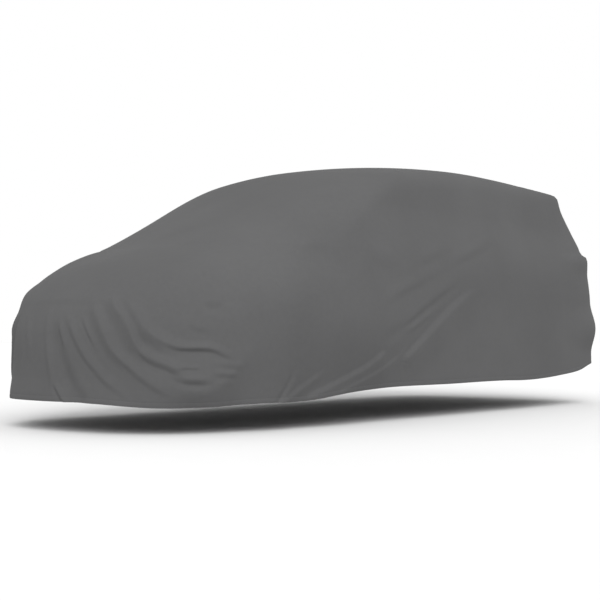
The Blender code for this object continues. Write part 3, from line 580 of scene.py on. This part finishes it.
def fold_path(fold):
    """Points along the path of a fold, and the unit vectors along it."""
    places = np.array(fold.path)
    steps = np.linalg.norm(np.diff(places, axis=0), axis=1)
    lengths = np.concatenate([[0.0], np.cumsum(steps)])
    at = np.linspace(0.0, lengths[-1], PATH_SAMPLES)
    path = np.stack([smooth_curve(at, lengths, places[:, axis]) for axis in range(2)], axis=1)
    heading = np.gradient(path, axis=0)
    return path, heading / np.linalg.norm(heading, axis=1, keepdims=True)


def fold_profile(across, width, fold):
    """Height across a fold in metres, over the distance from its path, positive to its ridge."""
    rise, above, below = MM * fold.rise, MM * fold.above * width, MM * fold.below * width
    ridge, trough = MM * fold.ridge, MM * fold.trough
    across = across + 0.5 * rise
    face = np.clip(across / rise, 0.0, 1.0)
    flank = np.clip(1.0 - (across - rise) / above, 0.0, 1.0)
    foot = np.clip(1.0 + across / below, 0.0, 1.0)

    def bend(share, crisp, power):
        return crisp * share**power + (1.0 - crisp) * ease(share)

    before = -trough * bend(foot, max(fold.crisp, 0.0), FLANK_POWER)
    if fold.crisp < 0.0:
        climb = (ridge + trough) * bend(face, -fold.crisp, FACE_POWER) - trough
    else:
        climb = ridge - (ridge + trough) * bend(1.0 - face, fold.crisp, FACE_POWER)
    behind = ridge * bend(flank, FLANK_CRISP, FLANK_POWER)
    return np.where(across < 0.0, before, np.where(across < rise, climb, behind))


def fold_relief(fold, around, up):
    """The relief of one fold at each place of the cloth, in metres."""
    path, heading = fold_path(fold)
    margin = MM * max(fold.rise + fold.above, fold.below) * np.sqrt(max(fold.widen, 1.0 / fold.widen))
    low = path.min(axis=0) - margin
    high = path.max(axis=0) + margin
    near = (around > low[0]) & (around < high[0]) & (up > low[1]) & (up < high[1])
    relief = np.zeros(around.shape)
    if not near.any():
        return relief
    offset = np.stack([around[near], up[near]], axis=-1)[:, None, :] - path[None, :, :]
    closest = np.argmin((offset**2).sum(axis=-1), axis=1)
    gap = offset[np.arange(len(closest)), closest]
    ahead = heading[closest]
    across = ahead[:, 0] * gap[:, 1] - ahead[:, 1] * gap[:, 0]
    beyond = np.abs((ahead * gap).sum(axis=1))
    along = closest / (PATH_SAMPLES - 1)
    width = fold.widen ** (along - 0.5)
    strength = ease(1.0 - beyond / margin)
    if fold.grow:
        strength *= ease(along / fold.grow)
    if fold.fade:
        strength *= ease((1.0 - along) / fold.fade)
    relief[near] = fold_profile(across, width, fold) * strength
    return relief


def swell_relief(swell, around, up):
    """A smooth swell or hollow, in metres."""
    tilt = np.radians(swell.tilt)
    right, above = around - swell.around, up - swell.up
    along = (right * np.cos(tilt) + above * np.sin(tilt)) / swell.half_length
    across = (above * np.cos(tilt) - right * np.sin(tilt)) / swell.half_height
    return MM * swell.height * ease(1.0 - np.hypot(along, across))


def tuck_relief(tucks, around, up):
    """How far the low edge is drawn in, in metres below zero, on the side that the table is for."""
    places, *columns = np.array(tucks).T
    top, slope, bend = (smooth_curve(around, places, column) for column in columns)
    return -np.maximum(slope, 0.0) * smooth_max(top - up, 0.0, np.maximum(bend, LEAST_BEND))


def cloth_relief(around, up):
    """How far the cloth stands out of the form, or in."""
    relief = np.zeros(around.shape)
    for fold in NOSE_SWAGS + SIDE_PULLS + SHOULDER_CREASES + TAIL_FOLDS:
        relief += fold_relief(fold, around, up)
    for fold in FAR_FOLDS + FAR_TAIL_FOLDS:
        relief += fold_relief(fold, -around, up)
    for swell in SEEN_SWELLS:
        relief += swell_relief(swell, around, up)
    for swell in FAR_SWELLS:
        relief += swell_relief(swell, -around, up)
    seen = tuck_relief(SEEN_TUCKS, np.maximum(around, 0.0), up)
    far = tuck_relief(FAR_TUCKS, np.maximum(-around, 0.0), up)
    return relief + np.where(around > 0.0, seen, far)


def hem_relief(rise, flare):
    """The kick of the hem, its soft puff and the pinch of its stitches, over the height above it."""
    kick = flare * ease(1.0 - rise / FLARE_REACH)
    puff = HEM_PUFF * np.sin(np.pi * np.clip(rise / STITCH_HEIGHT, 0.0, 1.0))
    pinch = STITCH_PINCH * ease(1.0 - np.abs(rise - STITCH_HEIGHT) / STITCH_REACH)
    return kick + puff - pinch


def graded(places, gaps, low, high):
    """Places from low to high whose gaps follow the gaps at places."""
    at = np.linspace(low, high, GRADING_SAMPLES)
    gap = np.interp(at, places, gaps)
    count = np.concatenate([[0.0], np.cumsum(2.0 * np.diff(at) / (gap[1:] + gap[:-1]))])
    return np.interp(np.linspace(0.0, count[-1], round(count[-1]) + 1), count, at)


def ring_columns(half):
    """Places of the fine columns round the whole girth, and which of them are coarse columns too."""
    starts, gaps, seen, far = np.array(COLUMNS).T
    coarse = graded(starts, gaps, 0.0, half)
    coarse = np.concatenate([coarse, 2.0 * half - coarse[-2::-1]])
    places, firsts = [], []
    for start, end in zip(coarse[:-1], coarse[1:]):
        middle = 0.5 * (start + end)
        splits = seen if middle < half else far
        band = np.searchsorted(starts, min(middle, 2.0 * half - middle)) - 1
        firsts.append(len(places))
        places.extend(np.linspace(start, end, int(splits[band]) + 1)[:-1])
    places = np.array(places)
    return np.where(places > half, places - 2.0 * half, places), firsts


def row_levels(height, top):
    """The "up" of each row of each column, fine rows first, and how many rows are fine."""
    starts, gaps = np.array(FINE_ROWS).T
    fine = np.concatenate([HEM_ROWS[:-1], graded(starts, gaps, starts[0], starts[-1])])
    share = np.linspace(0.0, 1.0, COARSE_ROWS + 1)[1:] ** COARSE_CROWDING
    low = height[:, None] + fine[None, :]
    high = low[:, -1:] + (top[:, None] - low[:, -1:]) * share[None, :]
    return np.concatenate([low, high], axis=1), len(fine)


class Cloth:
    """The strips of cloth on the form, from which any place of the cloth is read."""

    def __init__(self):
        turns, distances = girth_table()
        self.around, self.coarse = ring_columns(distances[-1])
        self.points, self.up = strip_points(np.interp(np.abs(self.around), distances, turns))
        self.points[self.around < 0.0, :, 0] *= -1.0
        self.height, self.flare = hem_line(self.around)

    def place(self, level):
        """Points and normals at the "up" in level, a row of values for each column."""
        points = np.empty(level.shape + (3,))
        for column in range(len(self.around)):
            for axis in range(3):
                strip = self.points[column, :, axis]
                points[column, :, axis] = np.interp(level[column], self.up[column], strip)
        points, normals = snap_to_form(points)
        wide_around = np.broadcast_to(self.around[:, None], level.shape)
        relief = cloth_relief(wide_around, level)
        relief += hem_relief(level - self.height[:, None], self.flare[:, None])
        return points + normals * relief[..., None] - ORIGIN, normals


def turned_hem(cloth, edge, edge_normals):
    """Rows that turn under the edge and run up behind it, from the edge on."""
    down = np.array([0.0, 0.0, -1.0])
    rows = []
    for step in range(1, HEM_TURN_STEPS + 1):
        angle = np.pi * step / HEM_TURN_STEPS
        inward = HEM_FOLD * (1.0 - np.cos(angle))
        rows.append(edge - edge_normals * inward + down * HEM_FOLD * np.sin(angle))
    level = cloth.height[:, None] + np.array(HEM_INSIDE)[None, :]
    inside, normals = cloth.place(level)
    inside -= normals * 2.0 * HEM_FOLD
    return np.concatenate([np.stack(rows, axis=1), inside], axis=1)


def ring_faces(first, columns, rows):
    """Quads between rows of a ring of columns, whose points count on from first, column by column."""
    faces = []
    for column in range(columns):
        here = first + column * rows
        beside = first + (column + 1) % columns * rows
        for row in range(rows - 1):
            faces.append((here + row, beside + row, beside + row + 1, here + row + 1))
    return faces


def cover_mesh():
    """The whole sheet: turned hem, fine rows and coarse rows, as one open skin."""
    cloth = Cloth()
    level, fine_rows = row_levels(cloth.height, cloth.up[:, -1])
    points, normals = cloth.place(level)
    hem = turned_hem(cloth, points[:, 0], normals[:, 0])
    lower = np.concatenate([hem[:, ::-1], points[:, :fine_rows]], axis=1)
    upper = points[cloth.coarse, fine_rows:]
    columns, lower_rows = lower.shape[:2]
    coarse_columns, upper_rows = upper.shape[:2]
    faces = ring_faces(0, columns, lower_rows)
    upper_first = columns * lower_rows
    ends = cloth.coarse[1:] + [columns]
    # Between two coarse columns, one face joins all points of the highest fine row to the row above.
    for coarse, (start, end) in enumerate(zip(cloth.coarse, ends)):
        below = [fine % columns * lower_rows + lower_rows - 1 for fine in range(start, end + 1)]
        beside = upper_first + (coarse + 1) % coarse_columns * upper_rows
        faces.append((*below, beside, upper_first + coarse * upper_rows))
    faces += ring_faces(upper_first, coarse_columns, upper_rows)
    places = np.concatenate([lower.reshape(-1, 3), upper.reshape(-1, 3)])
    return cloth, places, faces


def add_mesh(name, places, faces, smooth=True):
    data = bpy.data.meshes.new(name)
    data.from_pydata(places.tolist(), [], faces)
    data.validate()
    if smooth:
        data.shade_smooth()
    thing = bpy.data.objects.new(name, data)
    bpy.context.scene.collection.objects.link(thing)
    return thing


def add_cover():
    """The sheet, with the points that meet along the crown made one."""
    cloth, places, faces = cover_mesh()
    cover = add_mesh("cover_sheet", places, faces)
    crown = cover.modifiers.new("crown", "WELD")
    crown.merge_threshold = WELD
    cover.data.materials.append(cloth_material())
    return cloth, cover


def stitch_places(cloth):
    """The rings of points of every stitch, in a row that follows the hem all the way round."""
    row, normals = (ring[:, 0] for ring in cloth.place(cloth.height[:, None] + STITCH_HEIGHT))
    row, normals = (np.concatenate([ring, ring[:1]]) for ring in (row, normals))
    steps = np.linalg.norm(np.diff(row, axis=0), axis=1)
    lengths = np.concatenate([[0.0], np.cumsum(steps)])
    starts = np.linspace(0.0, lengths[-1], round(lengths[-1] / STITCH_PITCH) + 1)[:-1]
    share, height = np.array(STITCH_RINGS).T
    at = starts[:, None] + STITCH_LENGTH * share[None, :]
    centre = np.stack([np.interp(at, lengths, row[:, axis]) for axis in range(3)], axis=-1)
    out = np.stack([np.interp(at, lengths, normals[:, axis]) for axis in range(3)], axis=-1)
    side = np.cross(out, centre[:, -1:] - centre[:, :1])
    side /= np.linalg.norm(side, axis=-1, keepdims=True)
    centre += out * THREAD_HALF * height[None, :, None]
    angle = 2.0 * np.pi * np.arange(THREAD_SIDES)[:, None] / THREAD_SIDES
    spokes = side[:, :, None] * np.cos(angle) + out[:, :, None] * np.sin(angle)
    return centre[:, :, None] + THREAD_HALF * spokes


def add_stitches(cloth):
    """One joined mesh of short closed tubes, whose ends dip into the cloth."""
    places = stitch_places(cloth)
    count, rings, sides = places.shape[:3]
    faces = []
    for stitch in range(count):
        first = stitch * rings * sides
        last = first + (rings - 1) * sides
        faces.append(tuple(reversed(range(first, first + sides))))
        for here in range(first, last, sides):
            ahead = here + sides
            for side in range(sides):
                beside = (side + 1) % sides
                faces.append((here + side, here + beside, ahead + beside, ahead + side))
        faces.append(tuple(range(last, last + sides)))
    stitches = add_mesh("hem_stitches", places.reshape(-1, 3), faces)
    stitches.data.materials.append(thread_material())
    return stitches


class Nodes:
    """A material, and short ways to add nodes to it."""

    def __init__(self, name):
        self.material = bpy.data.materials.new(name)
        self.material.use_nodes = True
        self.tree = self.material.node_tree
        self.shader = self.tree.nodes["Principled BSDF"]

    def add(self, kind, inputs=None, **settings):
        node = self.tree.nodes.new(kind)
        for name, value in settings.items():
            setattr(node, name, value)
        for name, value in (inputs or {}).items():
            if isinstance(value, bpy.types.NodeSocket):
                self.tree.links.new(value, node.inputs[name])
            else:
                node.inputs[name].default_value = value
        return node

    def link(self, output, socket):
        self.tree.links.new(output, self.shader.inputs[socket])

    def set(self, socket, value):
        self.shader.inputs[socket].default_value = value

    def object_place(self):
        return self.add("ShaderNodeTexCoord").outputs["Object"]

    def noise(self, vector, kind):
        inputs = {"Vector": vector, "Scale": kind.scale}
        inputs.update({"Detail": kind.detail, "Roughness": kind.roughness})
        return self.add("ShaderNodeTexNoise", inputs).outputs["Fac"]

    def ramp(self, shade, dark, light):
        """A colour from dark to light, as the shade goes from 0 to 1."""
        node = self.add("ShaderNodeValToRGB", {"Fac": shade})
        node.color_ramp.elements[0].color = dark
        node.color_ramp.elements[1].color = light
        return node.outputs["Color"]

    def remap(self, value, low, high, to_low, to_high):
        inputs = {"Value": value, "From Min": low, "From Max": high, "To Min": to_low, "To Max": to_high}
        return self.add("ShaderNodeMapRange", inputs).outputs["Result"]

    def sum(self, *values):
        total = values[0]
        for value in values[1:]:
            node = self.add("ShaderNodeMath", operation="ADD")
            self.tree.links.new(total, node.inputs[0])
            self.tree.links.new(value, node.inputs[1])
            total = node.outputs[0]
        return total

    def bump(self, relief, kind, normal=None):
        """The normal over a relief from 0 to 1, on top of the normal of a coarser bump."""
        inputs = {"Height": relief, "Distance": kind.height, "Strength": kind.strength}
        if normal is not None:
            inputs["Normal"] = normal
        return self.add("ShaderNodeBump", inputs).outputs["Normal"]


def cloth_material():
    """Soft matte non-woven cloth: mottled grey, felted fibres and close rows of bonded points."""
    nodes = Nodes("cover_cloth")
    place = nodes.object_place()
    noises = {kind: nodes.noise(place, kind) for kind in (BROAD, BLOTCH, FIBRE, CRINKLE)}
    shades = [nodes.remap(noises[kind], low, high, 0.0, share) for kind, low, high, share in SHADES]
    nodes.link(nodes.ramp(nodes.sum(*shades), CLOTH_DARK, CLOTH_LIGHT), "Base Color")
    roughness = nodes.remap(noises[BLOTCH], BLOTCH_LOW, BLOTCH_HIGH, *CLOTH_ROUGHNESS)
    nodes.link(roughness, "Roughness")
    bonded = nodes.add("ShaderNodeTexVoronoi", {"Vector": place, "Scale": BONDED_POINTS})
    normal = nodes.bump(noises[CRINKLE], CRINKLE_BUMP)
    normal = nodes.bump(bonded.outputs["Distance"], BONDED_BUMP, normal)
    normal = nodes.bump(noises[FIBRE], FIBRE_BUMP, normal)
    nodes.link(normal, "Normal")
    nodes.set("Specular IOR Level", CLOTH_GLOSS)
    nodes.set("Diffuse Roughness", CLOTH_DIFFUSE_ROUGHNESS)
    return nodes.material


def thread_material():
    """Twisted thread, a little lighter than the cloth."""
    nodes = Nodes("hem_thread")
    twist = nodes.noise(nodes.object_place(), TWIST)
    nodes.link(nodes.ramp(twist, THREAD_DARK, THREAD_LIGHT), "Base Color")
    nodes.link(nodes.bump(twist, TWIST_BUMP), "Normal")
    nodes.set("Roughness", THREAD_ROUGHNESS)
    return nodes.material


def floor_material():
    """Pale paint with a faint grain."""
    nodes = Nodes("floor_paint")
    grain = nodes.noise(nodes.object_place(), GRAIN)
    nodes.link(nodes.ramp(grain, FLOOR_DARK, FLOOR_LIGHT), "Base Color")
    nodes.set("Roughness", FLOOR_ROUGHNESS)
    nodes.set("Specular IOR Level", FLOOR_GLOSS)
    return nodes.material


def add_floor():
    """A pale floor at the ground, below the hem."""
    corners = np.array([(-1, -1, 0), (1, -1, 0), (1, 1, 0), (-1, 1, 0)]) * FLOOR_HALF
    corners = corners + np.array([0.0, 0.0, -ORIGIN[2]])
    floor = add_mesh("floor", corners, [(0, 1, 2, 3)], smooth=False)
    floor.data.materials.append(floor_material())


def add_light():
    """Even white light from all round, and one soft key."""
    world = bpy.data.worlds.new("studio")
    bpy.context.scene.world = world
    world.use_nodes = True
    background = world.node_tree.nodes["Background"]
    background.inputs["Color"].default_value = WORLD_COLOUR
    background.inputs["Strength"].default_value = WORLD_STRENGTH
    light = bpy.data.lights.new("soft_key", "SUN")
    light.energy = KEY_STRENGTH
    light.angle = KEY_SOFTNESS
    key = bpy.data.objects.new("soft_key", light)
    key.rotation_euler = (np.pi / 2 - KEY_HEIGHT, 0.0, KEY_AZIMUTH)
    bpy.context.scene.collection.objects.link(key)


def add_camera():
    """The view of the photo."""
    lens = bpy.data.cameras.new("camera")
    lens.sensor_width = CAMERA_SENSOR
    lens.lens = CAMERA_LENS
    camera = bpy.data.objects.new("camera", lens)
    camera.location = CAMERA_PLACE
    camera.rotation_euler = (np.pi / 2 + CAMERA_PITCH, 0.0, CAMERA_AZIMUTH)
    bpy.context.scene.collection.objects.link(camera)
    bpy.context.scene.camera = camera


def main():
    add_camera()
    add_floor()
    add_light()
    bpy.context.scene.view_settings.view_transform = "Standard"
    cloth, cover = add_cover()
    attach(cover, "root")
    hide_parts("cover")
    stitches = add_stitches(cloth)
    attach(stitches, "root")


main()
